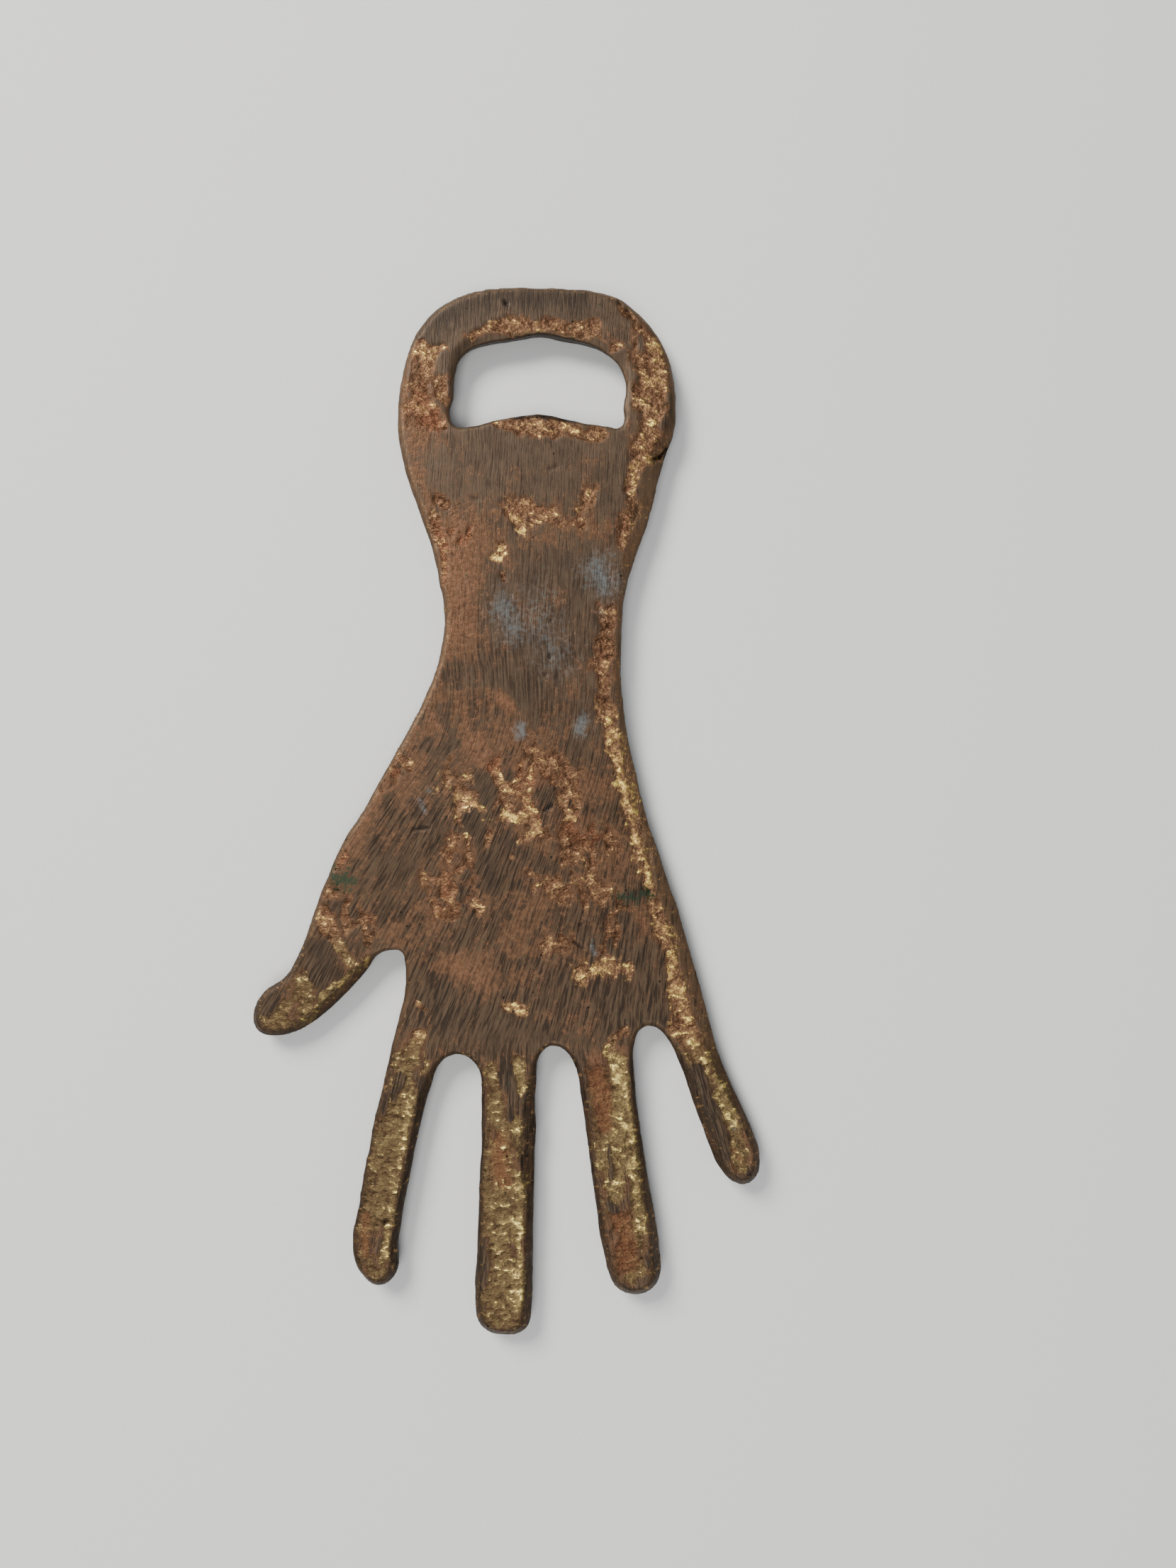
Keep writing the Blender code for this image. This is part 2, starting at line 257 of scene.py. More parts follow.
# Patina that runs to orange or red. The last value is how far.
WARM_PATINA = [
    (-5.0, 79.4, 2.5, 79.0, 1.3, 0.5),
    (-4.0, 78.0, 8.0, 77.2, 1.0, 0.35),
    (11.0, 76.0, 14.0, 73.6, 1.2, 0.35),
    (-18.0, 64.0, -16.0, 60.0, 3.5, 0.8),
    (-19.2, 56.0, -15.4, 46.0, 1.5, 0.65),
    (-6.0, 46.5, 4.0, 47.5, 2.2, 0.6),
    (4.0, 44.0, 15.0, 45.0, 2.4, 0.55),
    (8.0, 48.0, 11.0, 51.0, 1.6, 0.5),
    (-4.0, 42.0, -3.0, 36.0, 2.2, 0.5),
    (0.0, 42.4, 9.0, 41.0, 1.8, 0.45),
    (16.6, 56.0, 15.6, 44.0, 1.6, 0.5),
    (-11.0, 42.0, -10.6, 26.0, 4.2, 1.1),
    (-13.0, 26.0, -14.0, 14.0, 2.6, 0.6),
    (-4.0, 49.0, -2.0, 52.0, 1.4, 0.4),
    (12.5, 30.0, 13.5, 14.0, 1.8, 0.5),
    (-14.4, 14.0, -13.0, 9.0, 2.4, 0.75),
    (-10.0, 14.0, -8.0, 10.0, 3.2, 0.75),
    (-7.0, 8.6, -4.6, 5.6, 2.0, 1.3),
    (-3.0, 15.6, -1.4, 14.2, 1.0, 1.3),
    (4.5, 17.0, 9.5, 16.0, 1.6, 0.4),
    (-6.0, 8.0, 4.0, 2.0, 3.2, 0.8),
    (1.0, 0.0, 12.0, -6.0, 3.4, 0.75),
    (12.0, -4.0, 15.0, -12.0, 2.4, 0.6),
    (-15.0, 6.0, -19.0, -1.0, 2.6, 0.6),
    (-20.0, 4.0, -27.0, -11.0, 2.2, 0.75),
    (-9.0, -8.0, -12.0, -20.0, 3.0, 0.7),
    (-5.0, -12.0, -3.0, -20.0, 2.4, 0.5),
    (-9.0, -26.5, -4.5, -29.5, 2.8, 1.0),
    (6.0, -22.0, 10.0, -17.0, 2.0, 0.5),
    (14.0, -18.0, 15.0, -24.0, 1.6, 0.45),
    (20.8, -18.4, 21.3, -20.0, 0.8, 1.0),
    (-26.0, -9.0, -24.0, -6.0, 1.3, 0.7),
    (-27.0, -16.0, -22.0, -20.0, 2.4, 0.6),
    (-20.6, -66.0, -20.4, -72.0, 1.3, 0.8),
    (-0.6, -54.0, 0.4, -60.0, 2.2, 0.9),
    (14.0, -41.0, 16.0, -51.0, 1.8, 1.0),
    (18.6, -65.0, 20.0, -72.0, 2.4, 1.0),
    (24.0, -33.0, 26.0, -36.0, 1.4, 0.4),
    (36.0, -54.0, 37.4, -56.0, 1.0, 0.7),
]

# Blue-grey stains, and green verdigris. The last value is how strong.
GREY_STAINS = [
    (11.4, 37.0, 12.8, 35.0, 2.8, 0.8),
    (10.4, 39.4, 13.8, 39.8, 1.0, 0.5),
    (12.4, 34.0, 12.0, 30.0, 1.0, 0.5),
    (-3.4, 30.4, -1.0, 27.0, 3.0, 0.7),
    (-6.0, 30.5, -4.0, 31.5, 1.0, 0.5),
    (2.0, 31.0, 5.6, 23.0, 4.8, 0.5),
    (0.2, 11.4, 0.2, 9.8, 0.9, 0.95),
    (10.0, 13.0, 10.0, 11.4, 1.2, 0.9),
    (-15.2, -0.6, -14.8, -2.4, 0.7, 0.7),
    (-13.8, 0.8, -13.4, 0.2, 0.5, 0.5),
    (12.8, -22.6, 13.4, -24.0, 0.5, 0.8),
    (35.4, -50.8, 36.6, -51.4, 0.8, 0.45),
]
VERDIGRIS = [
    (-28.0, -13.4, -26.0, -14.8, 1.5, 0.95),
    (16.6, -15.2, 18.4, -15.6, 0.9, 0.9),
    (19.8, -15.4, 22.0, -14.4, 1.0, 0.9),
    (-20.0, 70.0, -19.6, 66.5, 0.7, 0.25),
    (-3.4, 48.0, -2.0, 47.4, 0.6, 0.3),
]

# Dents, pits, cracks and scratches. The last value is the depth.
DENTS = [
    (-5.0, 81.0, -4.8, 80.9, 0.32, 0.4),
    (13.5, 81.8, 13.8, 81.6, 0.3, 0.35),
    (14.9, 80.7, 15.2, 80.4, 0.32, 0.4),
    (15.6, 79.5, 15.8, 79.2, 0.24, 0.3),
    (20.3, 55.8, 21.6, 56.5, 0.36, 0.5),
    (21.6, 56.5, 22.4, 57.7, 0.36, 0.6),
    (-17.9, -67.1, -17.7, -67.0, 0.36, 0.5),
    (-20.5, -61.1, -20.5, -60.9, 0.3, 0.25),
    (4.5, 23.2, 4.5, 22.6, 0.25, 0.25),
    (4.3, 28.9, 4.3, 28.6, 0.25, 0.2),
    (3.8, 20.2, 3.8, 19.8, 0.25, 0.2),
    (4.4, -2.0, 5.8, -1.0, 0.3, 0.25),
    (9.7, -22.4, 11.2, -23.4, 0.3, 0.25),
    (10.8, -19.9, 11.4, -19.1, 0.26, 0.18),
    (-16.2, -5.5, -14.1, -5.2, 0.32, 0.3),
    (-2.6, 61.9, 2.2, 62.4, 0.28, 0.25),
    (2.2, 62.4, 6.6, 61.7, 0.28, 0.25),
    (-9.0, 48.4, -8.2, 48.2, 0.3, 0.12),
    (3.4, 53.6, 4.4, 53.9, 0.3, 0.12),
]

# The cap mouth, as a patch without a last value.
MOUTH = (-12.0, 68.0, 14.0, 68.0, 7.0)

# The file's strokes fan out from these points: across the palm, and down the fingers. Each fan is true to
# scale at its level. Strokes run straight above STRAIGHT_ABOVE, and fan out fully below FANNED_BELOW.
PALM_FAN = (32.0, 88.0)
PALM_LEVEL = 10
FINGER_FAN = (1.0, 42.0)
FINGER_LEVEL = -50
STRAIGHT_ABOVE = 26
FANNED_BELOW = -4

# Noise with its places scaled by this is drawn out along the file's strokes.
DRAWN_OUT = (1, 0.5, 1)

# The tone of cast skin away from every patch, and how little it counts inside one.
PLAIN_TONE = 0.2
PLAIN_WEIGHT = 1e-3

# A dent of this depth or more looks fully dark.
DARK_DEPTH = 0.25

# How far the skin lies below the filed front, how far its high points stand above its hollows, and how far
# the outline wobbles, the patches' edges wander and the file's strokes sway.
SKIN_DROP = 0.12
CRUMPLE_RISE = 0.26
WOBBLE = 0.14
WANDER = 0.9
SWAY = 0.3

# Large odd numbers that scramble a cell's place and seed into one number.
SCRAMBLE = (374761393, 668265263, 2147483647, 974634777)
SCRAMBLE_AGAIN = 1274126177
WORD = 0xFFFFFFFF
HALF_WORD = 0xFFFF

# The camera: a phone's lens on a 36 mm wide sensor, its lean away from straight down, its turn about the
# vertical, its distance from the point it looks at, and that point's place on the top face.
SENSOR_WIDTH = 36.0
FOCAL_LENGTH = 27.03
TILT = math.radians(3.5)
TURN = math.radians(2.0)
CAMERA_DISTANCE = 187.7
AIM = (11.3, 2.6)

# The floor's reach from the middle, and its gap below the piece.
FLOOR_REACH = 1500
FLOOR_GAP = 0.02


def hashed(ix, iy, iz, seed):
    """A repeatable number from 0 to 1 for each whole-number cell."""
    n = sum(value * factor for value, factor in zip((ix, iy, iz, seed), SCRAMBLE)) & WORD
    n = ((n ^ (n >> 13)) * SCRAMBLE_AGAIN) & WORD
    return ((n ^ (n >> 16)) & HALF_WORD) / HALF_WORD


def noise(points, size, seed):
    """Smooth noise from -1 to 1, with bumps about size across."""
    cell = np.floor(points / size).astype(np.int64)
    part = points / size - cell
    # Ease each coordinate, so that the noise has no creases between cells.
    part = part * part * part * (part * (part * 6 - 15) + 10)
    total = np.zeros(len(points))
    for corner in range(8):
        step = np.array([corner & 1, corner >> 1 & 1, corner >> 2 & 1])
        weight = np.where(step, part, 1 - part).prod(axis=1)
        ix, iy, iz = (cell + step).T
        total += weight * hashed(ix, iy, iz, seed)
    return total * 2 - 1


def ragged(points, size, seed, octaves):
    """Noise with finer noise on it, from about -1 to 1."""
    total = np.zeros(len(points))
    for octave in range(octaves):
        total += noise(points, size / 2**octave, seed + octave) / 2**octave
    return total / 1.5


def ragged_pair(points, size, seeds):
    """Two columns of ragged noise, for moving points in x and y."""
    return np.stack([ragged(points, size, seed, octaves=3) for seed in seeds], axis=1)


def smoothstep(start, end, value):
    """0 before start and 1 past end, with a smooth rise between. The start may lie above the end."""
    share = np.clip((value - start) / (end - start), 0, 1)
    return share * share * (3 - 2 * share)


def nearness(xy, patch):
    """1 on a capsule's axis, a half at its radius, and 0 at two radii."""
    ax, ay, bx, by, radius = patch[:5]
    a = np.array([ax, ay])
    ab = np.array([bx - ax, by - ay])
    share = np.clip(((xy - a) @ ab) / (ab @ ab + 1e-9), 0, 1)
    distance = np.linalg.norm(xy - a - share[:, None] * ab, axis=1)
    return np.clip(1 - distance / (2 * radius), 0, 1)


def spread(xy, patches):
    """How strongly each point lies in any of the patches, each weighted by its last value."""
    field = np.zeros(len(xy))
    for patch in patches:
        np.maximum(field, nearness(xy, patch) * patch[5], out=field)
    return field


def skin_patches(xy, veins):
    """Where the patches of cast skin lie, and their tone there. Broken skin keeps to the veins."""
    field = np.zeros(len(xy))
    weight = np.full(len(xy), PLAIN_WEIGHT)
    tone = weight * PLAIN_TONE
    for patches, share in ((CAST_SKIN, 1.0), (BROKEN_SKIN, veins)):
        for patch in patches:
            near = nearness(xy, patch)
            np.maximum(field, near * share, out=field)
            tone += near**3 * patch[5]
            weight += near**3
    return field, tone / weight


def fan(xy, pivot, level):
    """Distance across strokes that fan out from the pivot, true to scale at y = level."""
    return (xy[:, 0] - pivot[0]) / (pivot[1] - xy[:, 1]) * (pivot[1] - level) + pivot[0]


def stroke_maps(places):
    """Two maps of distance across and along the file's strokes, neither of which depends on height.

    One is for the ring, forearm and palm, where strokes run straight and then fan out. The other is for the
    fingers.
    """
    xy = places[:, :2].copy()
    xy[:, 0] += SWAY * ragged(places, size=10.0, seed=141, octaves=2)
    palm = smoothstep(STRAIGHT_ABOVE, FANNED_BELOW, xy[:, 1])
    palm_across = xy[:, 0] * (1 - palm) + fan(xy, PALM_FAN, PALM_LEVEL) * palm
    finger_across = fan(xy, FINGER_FAN, FINGER_LEVEL)
    flat = np.zeros(len(xy))
    return [np.stack([across, xy[:, 1], flat], axis=1) for across in (palm_across, finger_across)]


def bake_modifiers(piece):
    """Replaces the piece's mesh with what its modifiers make of it."""
    graph = bpy.context.evaluated_depsgraph_get()
    made = bpy.data.meshes.new_from_object(piece.evaluated_get(graph))
    piece.modifiers.clear()
    old = piece.data
    piece.data = made
    bpy.data.meshes.remove(old)


def read_mesh(mesh):
    """Every vertex's place in millimetres, and its normal."""
    places = np.empty(len(mesh.vertices) * 3)
    mesh.vertices.foreach_get("co", places)
    normals = np.empty(len(mesh.vertices) * 3)
    mesh.vertex_normals.foreach_get("vector", normals)
    return places.reshape(-1, 3) / MM, normals.reshape(-1, 3)


def put_field(mesh, name, values):
    """Stores a field on the mesh's points: one number each, or three."""
    kind = "FLOAT" if values.ndim == 1 else "FLOAT_VECTOR"
    channel = "value" if values.ndim == 1 else "vector"
    layer = mesh.attributes.new(name, kind, "POINT")
    layer.data.foreach_set(channel, np.ascontiguousarray(values, dtype=np.float32).ravel())


def fine_copy(node):
    """The casting meshed at VOXEL, as a new object."""
    mesh = node.data.copy()
    shell = bmesh.new()
    shell.from_mesh(mesh)
    bmesh.ops.remove_doubles(shell, verts=shell.verts, dist=1e-6)
    shell.to_mesh(mesh)
    shell.free()
    piece = bpy.data.objects.new("opener_aged_casting", mesh)
    bpy.context.scene.collection.objects.link(piece)
    remesh = piece.modifiers.new("fine", "REMESH")
    remesh.mode = "VOXEL"
    remesh.voxel_size = VOXEL * MM
    bake_modifiers(piece)
    return piece


def thin_back(piece):
    """Thins the back, which is nearly flat, to about BACK_KEEP of its faces."""
    places, _ = read_mesh(piece.data)
    on_back = places[:, 2] < BACK_TOP
    back = piece.vertex_groups.new(name="back")
    back.add(np.flatnonzero(on_back).tolist(), 1.0, "REPLACE")
    thin = piece.modifiers.new("thin", "DECIMATE")
    thin.ratio = 1 - np.mean(on_back) * (1 - BACK_KEEP)
    thin.vertex_group = "back"
    bake_modifiers(piece)
    piece.vertex_groups.clear()


def region_fields(places, normals):
    """Which points belong to the front, the sides, the filed facets, the back, and the fingers and thumb."""
    x = places[:, 0]
    y = places[:, 1]
    # 1 on the flat front, near 0 on the sides, and -1 on the back.
    up = normals[:, 2]
    facet = smoothstep(0.995, 0.955, up) * smoothstep(0.1, 0.35, up)
    facet *= 1 - smoothstep(0.1, 0.3, nearness(places[:, :2], MOUTH))
    thumb = smoothstep(-20, -25, x) * smoothstep(-20, -27, y)
    return {
        "front": smoothstep(0.55, 0.93, up),
        "side": 1 - smoothstep(0.35, 0.8, np.abs(up)),
        "facet": facet,
        "back": smoothstep(-0.4, -0.9, up),
        "fingers": np.maximum(smoothstep(-35, -42, y), thumb),
    }


def plain_warmth(y):
    """How orange the metal is outside the patches: most on the palm, and least on the ring."""
    return 0.1 + 0.1 * smoothstep(48, 40, y) + 0.2 * smoothstep(24, 8, y) - 0.16 * smoothstep(-26, -35, y)


def scoring(y):
    """How strongly the file has scored the metal: least on the ring, and most on the palm and fingers."""
    return 0.45 + 0.2 * smoothstep(44, 26, y) + 0.35 * smoothstep(14, 0, y)


def finish_fields(places, normals, facet):
    """Where each finish lies, from patches whose edges wander and fray along the file's strokes."""
    drawn = places * DRAWN_OUT
    xy = places[:, :2] + WANDER * ragged_pair(drawn, size=2.6, seeds=(101, 111))
    flecks = smoothstep(0.15, 0.6, ragged(drawn, size=1.9, seed=151, octaves=3))
    creases = np.abs(ragged(places * (1, 0.6, 1), size=2.8, seed=131, octaves=3))
    veins = 0.3 + 0.7 * np.maximum(smoothstep(0.36, 0.06, creases), flecks)
    skin, tone = skin_patches(xy, veins)
    dark = spread(xy, DARK_FILED_AND_PAINTED_SHADE)
    skin = skin + 0.26 * ragged(drawn, size=1.5, seed=11, octaves=3)
    skin -= 0.35 * smoothstep(0.2, 0.55, ragged(drawn, size=2.2, seed=121, octaves=2))
    skin -= 0.6 * smoothstep(0.1, 0.4, dark)
    red = spread(xy, WARM_PATINA)
    warm = np.maximum(np.maximum(red, plain_warmth(places[:, 1])), 0.8 * smoothstep(0.0, 0.5, skin))
    above = smoothstep(-0.2, 0.3, normals[:, 2])
    return {
        "skin": skin,
        "tone": tone,
        "dark": dark,
        "red": red,
        "warm": np.maximum(warm, 0.45 * facet),
        "grey": spread(xy, GREY_STAINS) * above,
        "green": spread(xy, VERDIGRIS) * above,
    }


def skin_crumple(places):
    """The cast skin's crumpled grain, wider than it is tall, with its high points near 1."""
    return 0.5 + 0.55 * ragged(places * (0.62, 1.25, 1), size=1.2, seed=41, octaves=2)


def surface_lift(places, fields):
    """How far casting and filing lift each point along its normal. The skin is flatter on the fingers."""
    shown = smoothstep(0.34, 0.5, fields["skin"]) * fields["front"]
    rise = CRUMPLE_RISE * (1 - 0.5 * fields["fingers"])
    swell = 0.05 * ragged(places, size=3.0, seed=47, octaves=2)
    lift = 0.06 * ragged(places, size=14.0, seed=21, octaves=2)
    lift += 0.025 * ragged(places, size=4.0, seed=31, octaves=2)
    lift -= SKIN_DROP * shown
    lift += shown * (rise * (fields["crumple"] - 0.5) + swell)
    lift += fields["side"] * 0.06 * ragged(places, size=1.8, seed=51, octaves=3)
    lift += fields["facet"] * 0.05 * ragged(places, size=2.4, seed=61, octaves=2)
    return lift


def dent_fields(places, normals):
    """How deep the dents are at each point, and how dark they look there from 0 to 1."""
    above = smoothstep(0.1, 0.4, normals[:, 2])
    depth = np.zeros(len(places))
    shade = np.zeros(len(places))
    for patch in DENTS:
        near = smoothstep(0.3, 0.8, nearness(places[:, :2], patch)) * above
        depth += near * patch[5]
        shade = np.maximum(shade, near * min(1.0, patch[5] / DARK_DEPTH))
    return depth, shade


def work_the_surface(mesh):
    """Moves the mesh's points as casting and filing left them, and stores the fields for the material."""
    places, normals = read_mesh(mesh)
    fields = region_fields(places, normals)
    fields.update(finish_fields(places, normals, fields["facet"]))
    fields["crumple"] = skin_crumple(places)
    depth, fields["dent"] = dent_fields(places, normals)
    fields["strokes"], fields["finger_strokes"] = stroke_maps(places)

    moved = places + normals * (surface_lift(places, fields) - depth)[:, None]
    moved[:, :2] += WOBBLE * ragged_pair(places, size=4.0, seeds=(71, 81))
    moved[:, 2] = np.maximum(moved[:, 2], 0)
    mesh.vertices.foreach_set("co", (moved * MM).ravel())
    mesh.update()

    fields["scoring"] = scoring(moved[:, 1])
    for name, values in fields.items():
        put_field(mesh, name, values)


def display(red, green, blue):
    """An 8-bit display colour as the shader's linear one."""
    channels = [c / 255 for c in (red, green, blue)]
    return (*[c / 12.92 if c <= 0.04045 else ((c + 0.055) / 1.055) ** 2.4 for c in channels], 1.0)


# Colours of the filed metal and of its patina.
FILED_DARK = display(70, 56, 44)
FILED_LIGHT = display(84, 68, 53)
PALM_BROWN = display(72, 56, 41)
# Deep brown of dark filed metal, which also serves as painted shade on the ring's top.
FILED_DEEP_AND_PAINTED_SHADE = display(50, 41, 33)
WARM_BROWN = display(97, 69, 48)
WARM_LIGHT = display(116, 82, 58)
WARM_DEEP = display(78, 54, 37)
WARM_PINK = display(132, 91, 66)
HAIRLINE = display(108, 88, 68)
SCORE = display(34, 26, 19)
RED_PATINA = display(118, 74, 52)

# Colours off the front: facets, sides and back.
# Facets on the head and palm: partly their own brown, partly painted light lifting them to the front's
# brightness.
FACET_BROWN_PAINTED_LIGHT = display(108, 86, 65)
# Finger facets: partly a darker filed brown, and partly painted shade of facets turned from the window.
FINGER_FACET_PAINTED_SHADE = display(62, 51, 40)
# Sides: partly as-cast brown, and partly painted shade on walls that the light hardly reaches.
SIDE_BROWN_PAINTED_SHADE = display(44, 34, 26)
SPECKLE = display(92, 70, 50)
WORN_RIM = display(190, 146, 92)
BACK_DARK = display(58, 46, 35)
BACK_LIGHT = display(92, 72, 54)

# Colours of stains and holes, and of the floor.
BLUE_GREY = display(104, 109, 109)
DARK_GREEN = display(34, 54, 38)
HOLE = display(20, 14, 10)
PALE_FLOOR = display(232, 232, 229)

# Colours of the cast skin, from its hollows to its bright points; the palest is mostly a painted highlight.
SKIN_ORANGE = [
    display(62, 43, 30),
    display(94, 66, 47),
    display(112, 82, 60),
    display(130, 99, 70),
    display(180, 143, 88),
    display(255, 224, 122),
]
SKIN_OLIVE = [
    display(56, 43, 30),
    display(86, 68, 47),
    display(102, 83, 57),
    display(116, 98, 66),
    display(164, 139, 88),
    display(255, 228, 132),
]


class Graph:
    """A material's node tree, with short ways to add to it."""

    def __init__(self, name):
        self.material = bpy.data.materials.new(name)
        self.material.use_nodes = True
        self.tree = self.material.node_tree
        self.shader = self.tree.nodes["Principled BSDF"]

    def add(self, kind, **values):
        """A new node with these properties."""
        node = self.tree.nodes.new(kind)
        for key, value in values.items():
            setattr(node, key, value)
        return node

    def put(self, socket, value):
        """Links value to the socket if it is another socket, and otherwise sets it."""
        if isinstance(value, bpy.types.NodeSocket):
            self.tree.links.new(value, socket)
        else:
            socket.default_value = value

    def field(self, name, output="Fac"):
        """A field that rides on the mesh."""
        return self.add("ShaderNodeAttribute", attribute_name=name).outputs[output]

    def maths(self, operation, a, b):
        node = self.add("ShaderNodeMath", operation=operation)
        self.put(node.inputs[0], a)
        self.put(node.inputs[1], b)
        return node.outputs[0]

    def times(self, a, b):
        return self.maths("MULTIPLY", a, b)

    def add_up(self, *terms):
        total = terms[0]
        for term in terms[1:]:
            total = self.maths("ADD", total, term)
        return total

    def centred(self, noise, amount):
        """A noise of mean a half as one of mean 0, times amount."""
        return self.times(self.maths("SUBTRACT", noise, 0.5), amount)

    def between(self, value, low, high, start=0.0, end=1.0):
        """value carried smoothly from low..high to start..end."""
        node = self.add("ShaderNodeMapRange", interpolation_type="SMOOTHSTEP")
        for socket, number in zip(node.inputs, (value, low, high, start, end)):
            self.put(socket, number)
        return node.outputs[0]

    def mix(self, share, a, b):
        """Colour a turning into colour b as share goes from 0 to 1."""
        # The node has a pair of sockets for each type of value: 6 and 7 take colours, and 2 and 3 numbers.
        node = self.add("ShaderNodeMix", data_type="RGBA")
        self.put(node.inputs[0], share)
        self.put(node.inputs[6], a)
        self.put(node.inputs[7], b)
        return node.outputs[2]

    def blend(self, share, a, b):
        """Number a turning into number b as share goes from 0 to 1."""
        node = self.add("ShaderNodeMix", data_type="FLOAT")
        self.put(node.inputs[0], share)
        self.put(node.inputs[2], a)
        self.put(node.inputs[3], b)
        return node.outputs[0]

    def ramp(self, value, low, high, colours):
        """value from low to high as a run of evenly spaced colours."""
        node = self.add("ShaderNodeValToRGB")
        self.put(node.inputs[0], self.between(value, low, high))
        stops = node.color_ramp.elements
        while len(stops) < len(colours):
            stops.new(0.5)
        for index, colour in enumerate(colours):
            stops[index].position = index / (len(colours) - 1)
            stops[index].color = colour
        return node.outputs[0]

    def grain(self, place, scale, detail, rough, warp=0.0):
        """Fractal noise of mean a half."""
        node = self.add("ShaderNodeTexNoise")
        self.put(node.inputs["Vector"], place)
        node.inputs["Scale"].default_value = scale
        node.inputs["Detail"].default_value = detail
        node.inputs["Roughness"].default_value = rough
        node.inputs["Distortion"].default_value = warp
        return node.outputs["Fac"]

    def scaled(self, place, x, y, z):
        """A place with each of its coordinates multiplied."""
        node = self.add("ShaderNodeVectorMath", operation="MULTIPLY")
        self.put(node.inputs[0], place)
        node.inputs[1].default_value = (x, y, z)
        return node.outputs[0]


class BrassGraph(Graph):
    """The aged brass, with the noises and shares that its layers have in common."""

    def __init__(self):
        super().__init__("aged_brass_surface")
        self.place = self.scaled(self.add("ShaderNodeTexCoord").outputs["Object"], 1 / MM, 1 / MM, 1 / MM)
        self.front = self.field("front")
        self.facet = self.field("facet")
        self.fingers = self.field("fingers")
        self.scoring = self.field("scoring")
        self.tone = self.field("tone")
        self.hair, self.score, self.fray = file_marks(self)
        self.fine = self.grain(self.place, 1.3, detail=4.0, rough=0.65, warp=0.3)
        self.cloud = self.grain(self.place, 0.16, detail=3.0, rough=0.6, warp=0.3)
        self.mottle = self.between(self.grain(self.place, 0.3, detail=4.0, rough=0.65), 0.35, 0.65)
        self.ripple = self.grain(self.scaled(self.place, 1.0, 1.7, 1.0), 1.0, detail=2.5, rough=0.55)
        self.clumps = self.grain(self.place, 0.42, detail=2.0, rough=0.6)
        self.depth = skin_depth(self)
        self.skin = self.times(self.between(self.depth, 0.32, 0.6), self.front)
        self.warm = warmth(self)
        self.scored = score_share(self)
        self.height = skin_height_and_painted_glint(self)
        self.bare = bare_share(self)


def file_marks(g):
    """The file's hairlines, its darker scores, and a frayed noise that runs along them."""
    marks = []
    for name in ("strokes", "finger_strokes"):
        strokes = g.field(name, "Vector")
        hair = g.grain(g.scaled(strokes, 3.4, 0.19, 0), 1.0, detail=3.0, rough=0.7)
        score = g.grain(g.scaled(strokes, 2.6, 0.18, 0), 1.0, detail=2.0, rough=0.6)
        fray = g.grain(g.scaled(strokes, 1.1, 0.3, 0), 1.0, detail=4.0, rough=0.65)
        marks.append((hair, g.between(score, 0.455, 0.37), fray))
    return [g.blend(g.fingers, palm, finger) for palm, finger in zip(*marks)]


def skin_depth(g):
    """How far each point lies inside the cast skin, which shows from about 0.3 up."""
    depth = g.add_up(g.field("skin"), g.centred(g.fine, 1.1), g.centred(g.fray, 0.9))
    return g.add_up(depth, g.times(g.centred(g.hair, 1.0), g.scoring))


def warmth(g):
    """How orange the patina is, from 0 to 1."""
    warm = g.add_up(g.field("warm"), g.centred(g.cloud, 1.6), g.centred(g.fray, 1.5))
    warm = g.add_up(warm, g.centred(g.fine, 0.8))
    warm = g.maths("SUBTRACT", warm, g.times(g.field("dark"), 0.8))
    return g.add_up(g.between(warm, 0.0, 0.8, 0.0, 0.5), g.between(warm, 0.34, 0.64, 0.0, 0.5))


def score_share(g):
    """How strongly scores darken the metal, which is least where it is orange."""
    scored = g.maths("MAXIMUM", g.score, g.between(g.hair, 0.52, 0.32, 0.0, 0.9))
    return g.times(g.times(scored, g.scoring), g.between(g.warm, 0.2, 1.0, 1.0, 0.6))


def bare_share(g):
    """How much plain brown metal shows: all of it off the front, and half of it on the facets."""
    return g.maths("MAXIMUM", g.maths("SUBTRACT", 1.0, g.front), g.times(g.facet, 0.5))


def skin_height_and_painted_glint(g):
    """How high each point of the cast skin stands, from hollows to worn crests, plus a painted glint."""
    # Painted highlight: specks on the crests pushed towards the skin's palest colour, most at high tone.
    painted_glints = g.times(g.between(g.ripple, 0.56, 0.74), g.between(g.clumps, 0.36, 0.6, 0.1, 0.65))
    painted_glints = g.times(painted_glints, g.between(g.tone, 0.2, 0.9, 0.4, 1.2))
    crumple = g.centred(g.field("crumple"), 0.5)
    height = g.add_up(crumple, g.centred(g.ripple, 0.9), g.centred(g.fine, 0.7), painted_glints)
    return g.add_up(height, g.times(g.centred(g.clumps, 1.0), g.blend(g.fingers, 1.0, 0.5)))


